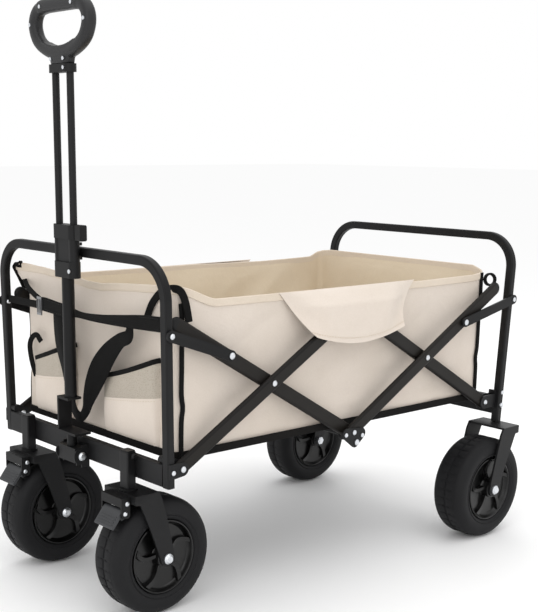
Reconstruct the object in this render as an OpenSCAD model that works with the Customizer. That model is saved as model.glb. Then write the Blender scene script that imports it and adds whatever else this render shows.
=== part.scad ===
// Folding beach cart: scissor-sided frame, fabric basket, swivel front casters with
// brakes, fixed rear wheels and a telescoping pull handle.
// +X is the pull-handle end, +Y the left side seen from behind, +Z up.
// The origin is on the ground at the middle of the cart.

/* [Wheels] */
// tyre diameter
wheel_d = 200; // [160:1:240]
// tyre width
tyre_w = 70; // [50:1:90]
// rim outer diameter, where the tyre seats
rim_d = 126; // [100:1:150]
// caster trail, from the stem back to the axle
trail = 50; // [40:1:56]
// half the front wheel track
front_track = 152.5; // [140:0.5:160]
// rear axle ahead of the rear hoop
rear_axle_set = 57.5; // [50:0.5:64]
// rear wheel middle outside the hoop leg's middle
rear_offset = 4; // [0:0.5:10]
// axle bolt diameter
axle_d = 10; // [8:0.5:12]

/* [Forks] */
// fork sheet thickness
fork_t = 4; // [3:0.5:5]
// fork crown length along the cart
crown_l = 48; // [40:1:56]
// clearance between a tyre's side and the fork leg
tyre_clear = 4; // [3:0.5:7]
// height of the front fork crown above the ground
crown_z = 218; // [212:1:222]
// caster stem diameter
stem_d = 10; // [8:0.5:12]

/* [Hoops] */
// half the hoop width, leg centre to cart centre
hoop_half = 239; // [220:1:260]
// hoop tube width across the cart
tube_w = 16; // [14:1:20]
// hoop tube depth along the cart
tube_d = 14; // [12:1:18]
// hoop top centre height
hoop_top = 591; // [540:1:640]
// hoop corner bend radius
bend_r = 60; // [50:1:80]
// front hoop ahead of the front arm pivots
hoop_set_f = 21.5; // [18:0.5:30]
// rear hoop behind the rear arm pivots
hoop_set_r = 41; // [36:0.5:50]
// forward lean of the front hoop
lean_f = 1.5; // [0:0.1:3]
// rearward lean of the rear hoop
lean_r = 3; // [0:0.1:4]
// crossbar height
bar_h = 37; // [30:1:45]
// crossbar depth
bar_d = 13; // [10:1:16]
// crossbar underside height
bar_z = 238; // [230:1:250]

/* [Scissor arms] */
// distance between the front and rear lower pivots
pivot_span = 780; // [700:1:860]
// lower pivot height
pivot_z = 267; // [255:1:280]
// top centre joint height
top_z = 493; // [450:1:520]
// how far the cart folds, as arm rotation
fold_deg = 46; // [30:1:50]
// arm tube width
arm_w = 25; // [20:1:30]
// arm tube thickness
arm_t = 10; // [8:0.5:12]
// Outer arm face inside the outer face of the hoop legs
arm_set = 0.5; // [0.3:0.1:2]
// length from the lower centre joint to the hooked tip
tip_len = 453; // [430:1:460]
// distance from a cross pivot to its link rivet
link_s = 116; // [90:1:140]
// link strap width
link_w = 18; // [14:1:22]
// pivot rivet diameter
pin_d = 8; // [6:0.5:10]

/* [Handle] */
// hinge ahead of the front hoop
hinge_set = 22; // [20:0.5:28]
// hinge height
hinge_z = 247; // [240:1:255]
// forward lean of the parked handle
handle_lean = 0.8; // [0:0.1:3]
// lower tube diameter
stick_d = 21; // [16:1:22]
// telescoping rod diameter
rod_d = 12; // [10:0.5:14]
// distance between the rods
rod_gap = 42; // [36:1:50]
// how far the rods slide down
rod_travel = 200; // [120:1:200]
// grip width between side tube centres
grip_w = 155; // [120:1:170]
// grip section diameter
grip_t = 22; // [18:1:26]

/* [Basket] */
// gap between the basket's end and the arm pivots
basket_end = 5; // [3:0.5:30]
// gap between the basket's side and the inner arms
basket_side = 2.7; // [1:0.1:20]
// floor height
floor_z = 272; // [268:1:290]
// rim height
rim_z = 527; // [480:1:545]
// fabric thickness
cloth_t = 3; // [2:0.5:4]

/* [Hidden] */
$fn = 48;
eps = 0.01;
wheel_r = wheel_d / 2;
front_hoop_x = pivot_span / 2 + hoop_set_f;
rear_hoop_x = -pivot_span / 2 - hoop_set_r;
rear_axle_x = rear_hoop_x + rear_axle_set;
rear_track = hoop_half + rear_offset;
hinge_x = front_hoop_x + hinge_set;
fork_gap = tyre_w + 2 * tyre_clear;
basket_l = pivot_span - 2 * basket_end;
hx = pivot_span / 4;
hz = (top_z - pivot_z) / 2;
th0 = atan2(hz, hx);
th1 = th0 + fold_deg;
arm_l = sqrt(hx * hx + hz * hz);
lean_z = 275;
P = [2 * hx, pivot_z];
C = [hx, pivot_z + hz];
M = [0, pivot_z];
T = [0, top_z];
tip = [tip_len * cos(th0), pivot_z + tip_len * sin(th0)];
// arm layers, measured across the cart
leg_out = hoop_half + tube_w / 2;
leg_in = hoop_half - tube_w / 2;
out_y1 = leg_out - arm_set;
out_y0 = out_y1 - arm_t;
in_y1 = out_y0 - 0.8;
in_y0 = in_y1 - arm_t;
basket_w = 2 * (in_y0 - basket_side);
plate_y0 = leg_out;
plate_y1 = leg_out + 2.5;
link_y0 = plate_y1 + 0.5;
link_y1 = link_y0 + 3;
// link geometry: the strap closes exactly in the open and in the folded cart
la = arm_l - link_s;
lb = arm_l + link_s;
arm_pin = [2 * hx - la * cos(th0), pivot_z + lb * sin(th0)];
function hoop_dx(x0, lean) = abs(x0) + 205 * tan(lean) - 2 * hx;
function link_h(dx) = ((lb * lb - la * la) * (pow(sin(th1), 2) - pow(sin(th0), 2))
  - 2 * la * dx * (cos(th0) - cos(th1))) / (2 * lb * (sin(th1) - sin(th0)));
dx_f = hoop_dx(front_hoop_x, lean_f);
dx_r = hoop_dx(rear_hoop_x, lean_r);
link_f = [2 * hx + dx_f, pivot_z + link_h(dx_f)];
link_r = [2 * hx + dx_r, pivot_z + link_h(dx_r)];
bar_fx = front_hoop_x + bar_d / 2;
post_d = 18;
post_w = 22;
stem_x = bar_fx + post_d / 2;
front_axle_x = stem_x - trail;
post_z0 = crown_z + fork_t;
crown_half = fork_gap / 2 + fork_t;
// handle frame: distances along the handle from its hinge
yoke_s = 38;
stick_s = 99;
head_s0 = 302;
head_s1 = 389;
rod_s0 = 311;
collar_s = 629;
// where the handle passes the hoop's top bar, and the hook's clearance on it
bar_s = (front_hoop_x + (hoop_top - lean_z) * sin(lean_f) - hinge_x) * sin(handle_lean)
  + (lean_z + (hoop_top - lean_z) * cos(lean_f) - hinge_z) * cos(handle_lean);
hook_gap = 1.2;
head_half = rod_gap / 2 + 9.5;
grip_s = 696;
// webbing across the front hoop, in the plane of its legs
web_z = 474;
web_h = 24;
pin_head = 2.4;
web_x = front_hoop_x + (web_z + web_h / 2 - lean_z) * tan(lean_f) - 1;
bx = basket_l / 2;
by = basket_w / 2;
gap = 0.3;

// ---------- helpers ----------
module rrect(w, h, r) {
  square([w - 2 * r, h], center = true);
  square([w, h - 2 * r], center = true);
  for (x = [-1, 1], y = [-1, 1])
    translate([x * (w / 2 - r), y * (h / 2 - r)]) circle(r);
}

module slot(l, w) {
  square([l - w, w], center = true);
  for (x = [-1, 1]) translate([x * (l - w) / 2, 0]) circle(w / 2);
}

// a flat outline in the X-Z plane, filled from y0 to y1
module xz(y0, y1) {
  translate([0, y1, 0]) rotate([90, 0, 0]) linear_extrude(y1 - y0) children();
}

// a cylinder along Y from y0 to y1 at [x, z]
module ycyl(p, d, y0, y1) {
  translate([p.x, y1, p.y]) rotate([90, 0, 0]) cylinder(h = y1 - y0, d = d);
}

module both() {
  children();
  mirror([0, 1, 0]) children();
}

// domed rivet head standing on y, pointing to +Y when s is 1
module head(p, d, h, y, s = 1) {
  translate([p.x, y, p.y]) rotate([-90 * s, 0, 0]) {
    cylinder(h = h * 0.45, d = d);
    translate([0, 0, h * 0.45]) cylinder(h = h * 0.55, d1 = d, d2 = d * 0.6);
  }
}

// flat-oval tube in the X-Z plane between p and q, middle plane at y
module arm_bar(p, q, y, end_p = true, end_q = true) {
  d = q - p;
  l = norm(d);
  a = atan2(d.y, d.x);
  translate([p.x, y, p.y]) rotate([0, -a, 0]) {
    rotate([0, 90, 0]) linear_extrude(l) slot(arm_w, arm_t);
    if (end_p) round_disc(arm_w / 2, arm_t);
    if (end_q) translate([l, 0, 0]) round_disc(arm_w / 2, arm_t);
  }
}

module round_disc(r, t) {
  rotate([90, 0, 0]) rotate_extrude() {
    translate([0, -t / 2]) square([r - t / 2, t]);
    intersection() {
      translate([r - t / 2, 0]) circle(t / 2);
      translate([0, -t / 2]) square([r, t]);
    }
  }
}

module hoop_lean(x, a) {
  translate([x, 0, lean_z]) rotate([0, a, 0]) children();
}

module hoop(zb) {
  zt = hoop_top - lean_z;
  h = hoop_half;
  both() {
    translate([0, h, zb]) linear_extrude(zt - bend_r - zb) rrect(tube_d, tube_w, 3);
    translate([0, h - bend_r, zt - bend_r]) rotate([90, 0, 90])
      rotate_extrude(angle = 90) translate([bend_r, 0]) rrect(tube_w, tube_d, 3);
  }
  translate([0, h - bend_r, zt]) rotate([90, 0, 0])
    linear_extrude(2 * (h - bend_r)) rrect(tube_d, tube_w, 3);
}

// one sheet-steel wheel fork about its own wheel centre plane, leg outline dir = 1
// when the crown sits forward of the axle and -1 when it sits behind
module fork(ax, dir, off, zc) {
  x1 = ax + dir * (off - crown_l / 2 + 8);
  x2 = ax + dir * (off + crown_l / 2 + 8 - 16);
  xa = min(ax + dir * (off + 16), ax + dir * (off - 32));
  z0 = zc - 4;
  translate([xa, -crown_half, zc - fork_t]) cube([crown_l, 2 * crown_half, fork_t]);
  // turned-down lip away from the wheel
  translate([dir > 0 ? ax + off + 16 - fork_t : ax - off - 16, -crown_half, zc - 15])
    cube([fork_t, 2 * crown_half, 15]);
  difference() {
    for (s = [-1, 1])
      xz(s > 0 ? fork_gap / 2 : -crown_half, s > 0 ? crown_half : -fork_gap / 2) {
        translate([ax, 0]) scale([dir, 1]) polygon([
          [off + 16, zc], [off - 32, zc], [12, zc - 14], [2, 170], [-10.5, 120],
          [-14, 100], [0, 86], [14, 100], [34, 152], [off + 6, zc - 16], [off + 16, zc - 15]]);
        translate([ax, wheel_r]) circle(14);
      }
    ycyl([ax, wheel_r], axle_d + 0.4, -60, 60);
  }
}

module tyre_at(x, y) {
  translate([x, y, wheel_r]) rotate([90, 0, 0]) rotate_extrude($fn = 96) difference() {
    union() {
      translate([rim_d / 2, -tyre_w / 2]) square([wheel_r - 12 - rim_d / 2, tyre_w]);
      translate([rim_d / 2, -tyre_w / 2 + 12]) square([wheel_r - rim_d / 2, tyre_w - 24]);
      for (s = [-1, 1]) translate([wheel_r - 12, s * (tyre_w / 2 - 12)]) circle(12);
    }
    for (s = [-1, 1]) translate([wheel_r - 1, s * 15 - 1]) square([2, 2]);
    for (s = [-1, 1]) translate([rim_d / 2 + 7, s * tyre_w / 2]) circle(2.5);
  }
}

module rim_at(x, y) {
  translate([x, y, wheel_r]) rotate([90, 0, 0]) difference() {
    union() {
      rotate_extrude($fn = 96) {
        // barrel with a lip at each side
        translate([rim_d / 2 - 5, -tyre_w / 2 + 2]) square([5 - 0.05, tyre_w - 4]);
        // solid web, dished a little on each side
        translate([10, -tyre_w / 2 + 11]) square([rim_d / 2 - 12, tyre_w - 22]);
        // hub
        translate([0, -fork_gap / 2 + 0.7]) square([17, fork_gap - 1.4]);
      }
      for (i = [0:5]) rotate(60 * i) translate([14, -4, -tyre_w / 2 + 5])
        cube([rim_d / 2 - 17, 8, tyre_w - 10]);
    }
    translate([0, 0, -60]) cylinder(h = 120, d = axle_d + 0.6);
  }
}

module axle_at(x, y) {
  c = [x, wheel_r];
  ycyl(c, axle_d, y - crown_half - 9, y + crown_half + 1);
  head(c, 18, 6.5, y + crown_half, 1);
  translate([x, y - crown_half, wheel_r]) rotate([90, 0, 0]) cylinder(h = 8, d = 18, $fn = 6);
}

// ---------- front frame ----------
module front_hoop() {
  color("#232323") hoop_lean(front_hoop_x, lean_f) hoop(bar_z - lean_z);
}

module front_crossbar() {
  color("#262626") translate([front_hoop_x, leg_in, bar_z + bar_h / 2]) rotate([90, 0, 0])
    linear_extrude(2 * leg_in) rrect(bar_d, bar_h, 2.5);
}

module caster_posts() {
  color("#2b2b2c") both() difference() {
    union() {
      translate([stem_x, front_track, post_z0]) linear_extrude(60) rrect(post_d, post_w, 2.5);
      translate([stem_x, front_track, post_z0 + 60]) linear_extrude(2.5) rrect(post_d - 2, post_w - 2, 2);
      // nut on its outer side
      head([stem_x - 3, 275], 11, 4.5, front_track + post_w / 2, 1);
    }
    translate([stem_x, front_track, post_z0 - 1]) cylinder(h = 60, d = stem_d + 0.6);
  }
}

module front_brackets() {
  color("#2a2a2a") leg_nuts();
  color("#2a2a2a") both() {
    difference() {
      xz(plate_y0, plate_y1) hull() {
        translate(P) circle(11);
        translate([front_hoop_x - 6, pivot_z - 13]) square([12, 24]);
      }
      ycyl(P, pin_d + 0.2, plate_y0 - 1, plate_y1 + 1);
    }
    difference() {
      xz(out_y0 - 3.2, out_y0 - 0.5) hull() {
        translate(P) circle(13);
        translate([front_hoop_x - tube_d / 2 - 2.5, pivot_z - 12]) square([1.8, 30]);
      }
      ycyl(P, pin_d + 0.2, out_y0 - 5, out_y0);
    }
  }
}

module leg_nuts() {
  for (s = [-1, 1]) translate([front_hoop_x, s * (leg_in - 6), bar_z + bar_h + 6.3])
    rotate([90, 0, 0]) cylinder(h = 12, d = 11.5, center = true);
}

module front_bolts() {
  h = [hinge_x, hinge_z];
  color("#b9bcc0") both() {
    // lower pivot pin and its heads
    ycyl(P, pin_d, out_y0 - 4, plate_y1 + 0.5);
    head(P, 10, 3, plate_y1, 1);
    head(P, 10, 3, out_y0 - 3.2, -1);
    // plate rivet on the hoop leg
    head([front_hoop_x - 2, pivot_z - 3], 8, 2.5, plate_y1, 1);
    // link pin on the hoop leg
    ycyl(link_f, 6, leg_out, link_y1 + 0.8);
    head(link_f, 9, 2.8, link_y1 + 0.4, 1);
    head(link_f, 8, pin_head, leg_in, -1);
  }
  color("#b9bcc0") {
    ycyl(h, pin_d, -32, 32);
    head(h, 15, 5, 29.5, 1);
    head(h, 15, 5, -29.5, -1);
  }
}

module handle_clevis() {
  color("#2a2a2b") difference() {
    union() {
      translate([bar_fx, -29.5, 227]) cube([3, 59, 38]);
      both() xz(26.5, 29.5) {
        translate([bar_fx, 227]) square([hinge_x - bar_fx, 38]);
        translate([hinge_x, hinge_z]) circle(15);
        translate([bar_fx, 232]) square([26, 15]);
      }
    }
    ycyl([hinge_x, hinge_z], pin_d + 0.2, -40, 40);
  }
}

module front_webbing() {
  color("#121212") {
    translate([web_x, -leg_in + pin_head + gap, web_z])
      cube([2, 2 * (leg_in - pin_head - gap), web_h]);
    // thin strap from the buckle back to the basket corner
    hull() {
      translate([web_x, -127, web_z + web_h]) cube([2, 14, 1]);
      translate([bx + 1, -210, 520]) cube([2, 12, 4]);
    }
  }
}

module webbing_buckle() {
  color("#8d8f90") difference() {
    translate([web_x + 2 + gap, -127, web_z - 4]) cube([2.4, 14, web_h + 8]);
    for (y = [-125.5, -118.5]) translate([web_x, y, web_z]) cube([8, 4, web_h]);
  }
}

// ---------- scissor arms ----------
module arms_front_lower() {
  // front lower pivot up to the top centre joint
  color("#2d2b27") both() difference() {
    arm_bar(P, T, (out_y0 + out_y1) / 2);
    ycyl(P, pin_d + 0.6, out_y0 - 1, out_y1 + 1);
    ycyl(C, pin_d + 0.2, out_y0 - 1, out_y1 + 1);
    ycyl(T, pin_d + 0.2, out_y0 - 1, out_y1 + 1);
  }
}

module rivets_front() {
  color("#b9bcc0") both() for (p = [C, T]) {
    ycyl(p, pin_d, in_y0 - 0.8, out_y1 + 0.5);
    head(p, 10, 2.8, out_y1, 1);
    ycyl(p, 12, in_y0 - 2.2, in_y0 - 0.4);
  }
}

module arms_front_upper() {
  // lower centre joint up to the front tip
  color("#2d2b27") both() difference() {
    arm_bar(M, tip, (in_y0 + in_y1) / 2, true, false);
    ycyl(C, pin_d + 0.6, in_y0 - 1, in_y1 + 1);
    ycyl(M, pin_d + 0.6, in_y0 - 1, in_y1 + 1);
  }
}

module tip_plug(y) {
  translate([tip.x, y, tip.y]) rotate([0, -th0, 0]) difference() {
    round_disc(arm_w / 2, arm_t);
    translate([-30, -20, -20]) cube([30, 40, 40]);
  }
}

module front_tips() {
  color("#141414") both() tip_plug((in_y0 + in_y1) / 2);
}

module centre_bracket() {
  color("#262626") {
    // floor tube between the two sides
    ycyl([0, floor_z - 8.2], 16, -in_y0 + 0.4, in_y0 - 0.4);
    both() {
      xz(in_y0 - 2.4, in_y0 - 0.4) translate([0, floor_z - 8]) circle(15);
      difference() {
        xz(plate_y0, plate_y1) hull() {
          translate([-19, pivot_z - 4]) circle(10);
          translate([19, pivot_z - 1]) circle(10);
          translate([-3, pivot_z - 19]) circle(9);
        }
        ycyl(M, pin_d + 0.2, plate_y0 - 1, plate_y1 + 1);
      }
    }
  }
}

module centre_bolts() {
  color("#b9bcc0") both() {
    ycyl(M, pin_d, in_y0 - 0.4, plate_y1 + 0.4);
    head(M, 9, 2.6, plate_y1, 1);
    head([21, pivot_z - 2], 8, 2.6, plate_y1, 1);
    head([-21, pivot_z - 8], 8, 2.6, plate_y1, 1);
    head([-7, pivot_z - 19], 11, 3.6, plate_y1, 1);
  }
}

module arms_rear_upper() {
  // lower centre joint up to the rear tip
  color("#2d2b27") both() mirror([1, 0, 0]) difference() {
    arm_bar(M, tip, (out_y0 + out_y1) / 2, true, false);
    ycyl(C, pin_d + 0.2, out_y0 - 1, out_y1 + 1);
    ycyl(M, pin_d + 0.6, out_y0 - 1, out_y1 + 1);
  }
}

module rear_tips() {
  color("#141414") both() mirror([1, 0, 0]) tip_plug((out_y0 + out_y1) / 2);
}

module rivets_rear() {
  color("#b9bcc0") both() mirror([1, 0, 0]) {
    ycyl(C, pin_d, in_y0 - 0.8, out_y1 + 0.5);
    head(C, 10, 2.8, out_y1, 1);
    ycyl(C, 12, in_y0 - 2.2, in_y0 - 0.4);
  }
}

module arms_rear_lower() {
  // rear lower pivot up to the top centre joint
  color("#2d2b27") both() mirror([1, 0, 0]) difference() {
    arm_bar(P, T, (in_y0 + in_y1) / 2);
    for (p = [P, C, T]) ycyl(p, pin_d + 0.6, in_y0 - 1, in_y1 + 1);
  }
}

// ---------- links between hoops and arms ----------
module link_strap(h, spacer_y) {
  difference() {
    union() {
      xz(link_y0, link_y1) {
        translate(h) rotate(atan2(arm_pin.y - h.y, arm_pin.x - h.x)) {
          translate([0, -link_w / 2]) square([norm(arm_pin - h), link_w]);
          circle(link_w / 2);
          translate([norm(arm_pin - h), 0]) circle(link_w / 2);
        }
      }
      // boss standing off the arm
      ycyl(arm_pin, 14, spacer_y + 0.4, link_y0 + 0.1);
    }
    ycyl(h, 6.6, link_y0 - 1, link_y1 + 1);
  }
  head(arm_pin, 11, 3, link_y1, 1);
}

module front_links() {
  color("#2a2a2a") both() link_strap(link_f, in_y1);
}

module rear_links() {
  color("#2a2a2a") both() mirror([1, 0, 0]) link_strap(link_r, out_y1);
}

// ---------- rear frame ----------
module rear_hoop() {
  color("#232323") hoop_lean(rear_hoop_x, -lean_r) hoop(post_z0 + 1 - lean_z);
}

module rear_crossbar() {
  color("#262626") translate([rear_hoop_x, leg_in, bar_z + bar_h / 2]) rotate([90, 0, 0])
    linear_extrude(2 * leg_in) rrect(bar_d, bar_h, 2.5);
}

module rear_brackets() {
  f = rear_hoop_x + tube_d / 2;
  color("#2a2a2a") both() difference() {
    union() {
      for (y = [[in_y0 - 2.2, in_y0 - 0.4], [in_y1 + 0.5, in_y1 + 3]])
        xz(y[0], y[1]) {
          translate([-P.x, P.y]) circle(13);
          translate([f + 3.5, pivot_z - 13]) square([-P.x - f - 3.5, 26]);
        }
      hoop_lean(rear_hoop_x, -lean_r) translate([tube_d / 2, in_y0 - 2.2, pivot_z - 16 - lean_z])
        cube([4, in_y1 + 3 - in_y0 + 2.2, 36]);
    }
    ycyl([-P.x, P.y], pin_d + 0.2, in_y0 - 5, in_y1 + 5);
  }
}

module rear_fork_left() {
  color("#262526") translate([0, rear_track, 0]) fork(rear_axle_x, -1, 51.5, post_z0);
}

module rear_fork_right() {
  color("#262526") mirror([0, 1, 0]) translate([0, rear_track, 0])
    fork(rear_axle_x, -1, 51.5, post_z0);
}

module rear_axles() {
  color("#c4c6c9") both() axle_at(rear_axle_x, rear_track);
}

module rear_bolts() {
  q = [-P.x, P.y];
  color("#b9bcc0") both() {
    ycyl(q, pin_d, in_y0 - 1, in_y1 + 3.5);
    head(q, 10, 2.8, in_y1 + 3, 1);
    ycyl([-link_r.x, link_r.y], 6, leg_out, link_y1 + 0.8);
    head([-link_r.x, link_r.y], 9, 2.8, link_y1 + 0.4, 1);
    head([rear_hoop_x, 257], 10, 4, leg_out, 1);
    head([rear_hoop_x - 1, 283], 8, 3, leg_out, 1);
  }
}

module rear_tyre_left() { color("#2b2b2d") tyre_at(rear_axle_x, rear_track); }
module rear_tyre_right() { color("#2b2b2d") tyre_at(rear_axle_x, -rear_track); }
module rear_rim_left() { color("#171617") rim_at(rear_axle_x, rear_track); }
module rear_rim_right() { color("#171617") rim_at(rear_axle_x, -rear_track); }

// ---------- front casters ----------
module caster_fork(s) {
  translate([0, s * front_track, 0]) {
    fork(front_axle_x, 1, stem_x - front_axle_x, crown_z);
    translate([stem_x, 0, crown_z - 1]) cylinder(h = 54, d = stem_d);
    translate([stem_x, 0, crown_z]) cylinder(h = fork_t - 0.4, d = 30);
  }
}

module caster_fork_left() { color("#2c2c2d") caster_fork(1); }
module caster_fork_right() { color("#2c2c2d") caster_fork(-1); }
module caster_axle_left() { color("#c4c6c9") axle_at(front_axle_x, front_track); }
module caster_axle_right() { color("#c4c6c9") axle_at(front_axle_x, -front_track); }

brake_x = stem_x + 16;
brake_pin = [stem_x + 26, 188];

module brake_housing(s) {
  translate([0, s * front_track, 0]) {
    translate([brake_x, -28, 193]) cube([3, 56, 21]);
    translate([brake_x, -28, 210]) cube([17, 56, 4]);
    translate([brake_x + 14, -28, 199]) cube([3, 56, 12]);
    both() xz(25, 28) polygon([[brake_x, 182], [brake_x + 4, 179], [brake_x + 16, 181],
      [brake_x + 17, 188], [brake_x + 17, 214], [brake_x, 214]]);
    ycyl(brake_pin, 5, -27, 27);
    both() head([brake_x + 6, 204], 8, 2.5, 28, 1);
    both() head(brake_pin, 8, 2.5, 28, 1);
  }
}

module brake_housing_left() { color("#1c1c1c") brake_housing(1); }
module brake_housing_right() { color("#1c1c1c") brake_housing(-1); }

module brake_pedal(s) {
  b = brake_pin;
  // the lug points just below the axle line, so pressing the pedal swings it onto the tyre
  lug = atan2(wheel_r - b.y, front_axle_x - b.x) + 22;
  dist = norm([front_axle_x, wheel_r] - b) - wheel_r - 0.4;
  translate([0, s * front_track, 0]) difference() {
    union() {
      ycyl(b, 12, -24.4, 24.4);
      xz(-24.4, 24.4) translate(b) rotate(-52) {
        translate([0, 1]) square([30, 5]);
        translate([30, 3.5]) circle(2.5);
      }
      for (i = [0:3]) xz(-21, 21) translate(b) rotate(-52) translate([10 + 5 * i, 5.5]) square([2, 1.6]);
      xz(-16, 16) translate(b) rotate(lug) translate([0, -3]) square([dist - 1, 6]);
    }
    ycyl(b, 5.6, -30, 30);
  }
}

module brake_pedal_left() { color("#77787a") brake_pedal(1); }
module brake_pedal_right() { color("#77787a") brake_pedal(-1); }
module front_tyre_left() { color("#2b2b2d") tyre_at(front_axle_x, front_track); }
module front_tyre_right() { color("#2b2b2d") tyre_at(front_axle_x, -front_track); }
module front_rim_left() { color("#171617") rim_at(front_axle_x, front_track); }
module front_rim_right() { color("#171617") rim_at(front_axle_x, -front_track); }

// ---------- pull handle ----------
module handle_frame() {
  translate([hinge_x, 0, hinge_z]) rotate([0, handle_lean, 0]) children();
}

module handle_tube() {
  color("#2b2a28") handle_frame() difference() {
    union() {
      ycyl([0, 0], 23, -26, 26);
      xz(-26, 26) polygon([[-11.5, 0], [-11.5, 14], [11.5, 14], [11.5, -11.5], [0, -11.5]]);
      cylinder(h = yoke_s, d = 17);
      // open steel yoke under the tube
      translate([-15, -22, yoke_s]) cube([32, 58, 4]);
      translate([-13, -22, yoke_s]) cube([27, 4, stick_s - yoke_s]);
      translate([-13, -22, stick_s - 4]) cube([27, 34, 4]);
      translate([0, 0, stick_s - 1]) cylinder(h = head_s0 - stick_s + 1, d = stick_d);
      translate([0, 0, head_s0 - 1]) cylinder(h = 20, d = 14);
    }
    ycyl([0, 0], pin_d + 0.6, -40, 40);
  }
}

module handle_head() {
  color("#1b1b1b") handle_frame() difference() {
    union() {
      translate([0, 0, head_s1 - 23]) linear_extrude(23) rotate(90) slot(2 * head_half, 22);
      translate([0, 0, head_s0 + 22]) linear_extrude(50) {
        for (y = [-1, 1]) translate([0, y * rod_gap / 2]) circle(9);
        square([15, rod_gap], center = true);
      }
      translate([0, 0, head_s0]) linear_extrude(26) rotate(90) slot(2 * head_half - 1, 22);
      // parking hook that closes over the hoop's top bar
      for (z = [bar_s - tube_w / 2 - hook_gap - 5, bar_s + tube_w / 2 + hook_gap])
        translate([-27, -22, z]) cube([20, 26, 5]);
    }
    for (y = [-1, 1]) translate([0, y * rod_gap / 2, head_s0 - 1]) cylinder(h = 100, d = rod_d + 0.6);
    translate([0, 0, head_s0 - 1]) cylinder(h = 20.2, d = 14.1);
    // guide for the lock button
    ycyl([0, head_s1 - 12], 8.6, head_half - 2.9, head_half + 9.5);
  }
}

module handle_screws() {
  color("#9fa2a6") handle_frame() translate([11, rod_gap / 2, head_s0 + 12]) rotate([0, 90, 0]) {
    cylinder(h = 1.4, d = 7);
    translate([0, 0, 1.4]) cylinder(h = 0.8, d1 = 7, d2 = 4);
  }
}

module lock_button() {
  color("#161616") handle_frame() translate([0, 0, head_s1 - 12]) {
    ycyl([0, 0], 8, head_half - 0.2, head_half + 3.5);
    translate([0, head_half + 18, 0]) rotate([90, 0, 0]) linear_extrude(15) rrect(14, 26, 3);
  }
}

module grip_rods() {
  color("#2e2e2e") handle_frame() for (y = [-1, 1])
    translate([0, y * rod_gap / 2, rod_s0]) cylinder(h = collar_s - rod_s0 + 8, d = rod_d);
}

module grip_collar() {
  color("#242424") handle_frame() difference() {
    translate([0, 0, collar_s]) linear_extrude(13) rotate(90) slot(2 * head_half + 1, 22);
    for (y = [-1, 1]) translate([0, y * rod_gap / 2, collar_s - 1]) cylinder(h = 9.1, d = rod_d + 0.1);
  }
}

module grip_ring() {
  w = grip_w / 2;
  color("#3a3a3b") handle_frame() translate([0, 0, collar_s + 13]) {
    // neck block
    linear_extrude(16) rotate(90) slot(56, 22);
    both() {
      // lower branch flaring out to the side
      hull() {
        translate([0, 17, 14]) sphere(d = 21, $fn = 32);
        translate([0, w - 14, 42]) sphere(d = grip_t, $fn = 32);
      }
      hull() {
        translate([0, w - 14, 42]) sphere(d = grip_t, $fn = 32);
        translate([0, w, 64]) sphere(d = grip_t, $fn = 32);
      }
      hull() {
        translate([0, w, 64]) sphere(d = grip_t, $fn = 32);
        translate([0, w - 18, 90]) sphere(d = grip_t, $fn = 32);
      }
    }
    // hand bar
    translate([0, w - 18, 90]) rotate([90, 0, 0]) cylinder(h = 2 * (w - 18), d = 24);
  }
}

module grip_screws() {
  // rods' screws in the collar and the neck, then two in the sides and two in the hand bar
  color("#b9bcc0") handle_frame() translate([0, 0, collar_s + 13])
    for (p = [[18, -6, 11], [-18, 8, 11], [18, 8, 11], [-grip_w / 2, 64, grip_t / 2],
              [grip_w / 2, 64, grip_t / 2], [-45, 90, 12], [45, 90, 12]])
      translate([p[2] + 0.02, p[0], p[1]]) rotate([0, 90, 0]) {
        cylinder(h = 1.2, d = 6);
        translate([0, 0, 1.2]) cylinder(h = 0.6, d1 = 6, d2 = 3.6);
      }
}

// ---------- basket ----------
module basket_left() {
  color("#d8cbbd") translate([-bx, by - cloth_t, floor_z]) cube([2 * bx, cloth_t, rim_z - floor_z]);
}

module basket_right() {
  color("#d8cbbd") translate([-bx, -by, floor_z]) cube([2 * bx, cloth_t, rim_z - floor_z]);
}

module end_panel(x) {
  y = by - cloth_t - gap;
  translate([x, -y, floor_z]) cube([cloth_t, 2 * y, rim_z - floor_z]);
}

module basket_front() { color("#d9cdbf") end_panel(bx - cloth_t); }
module basket_rear() { color("#d6c9b8") end_panel(-bx); }

module basket_floor() {
  x = bx - cloth_t - gap;
  y = by - cloth_t - gap;
  color("#1d1c1b") translate([-x, -y, floor_z]) cube([2 * x, 2 * y, 5]);
}

module basket_pockets() {
  color("#cfc4b4") for (p = [[-190, 118], [27, 151]])
    translate([bx + gap, p[0], floor_z + 14]) difference() {
      cube([15, p[1], 124]);
      translate([2, 2, 2]) cube([11, p[1] - 4, 130]);
    }
}

module corner_hoods() {
  z = rim_z + gap;
  color("#161616") both() for (m = [0, 1]) mirror([m, 0, 0]) {
    xz(by - cloth_t, by) polygon([[bx - 54, z], [bx - 44, z + 13], [bx - 24, z + 20], [bx, z + 21], [bx, z]]);
    translate([bx - cloth_t, 0, 0]) rotate([90, 0, 90]) linear_extrude(cloth_t)
      polygon([[by - 50, z], [by - 40, z + 13], [by - 20, z + 20], [by - cloth_t - gap, z + 21],
        [by - cloth_t - gap, z]]);
  }
}

module closure_strap() {
  color("#141312") translate([web_x - gap - 2.2, 0, 0]) rotate([90, 0, 90]) linear_extrude(2.2)
    polygon([[148, 498], [148, 478], [145, 466], [122, 445], [100, 417], [68, 397], [51, 367],
      [31, 336], [17, 314], [8, 297], [-14, 293], [-34, 300], [-50, 330], [-56, 360], [-62, 392],
      [-78, 412], [-86, 430], [-89, 451], [-84, 474], [-84, 498], [-56, 498], [-56, 470],
      [-46, 440], [-34, 400], [-26, 360], [-16, 326], [-6, 314], [4, 322], [8, 342], [5, 357],
      [10, 374], [32, 405], [60, 434], [95, 457], [124, 464], [131, 478], [131, 498]]);
}

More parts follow.
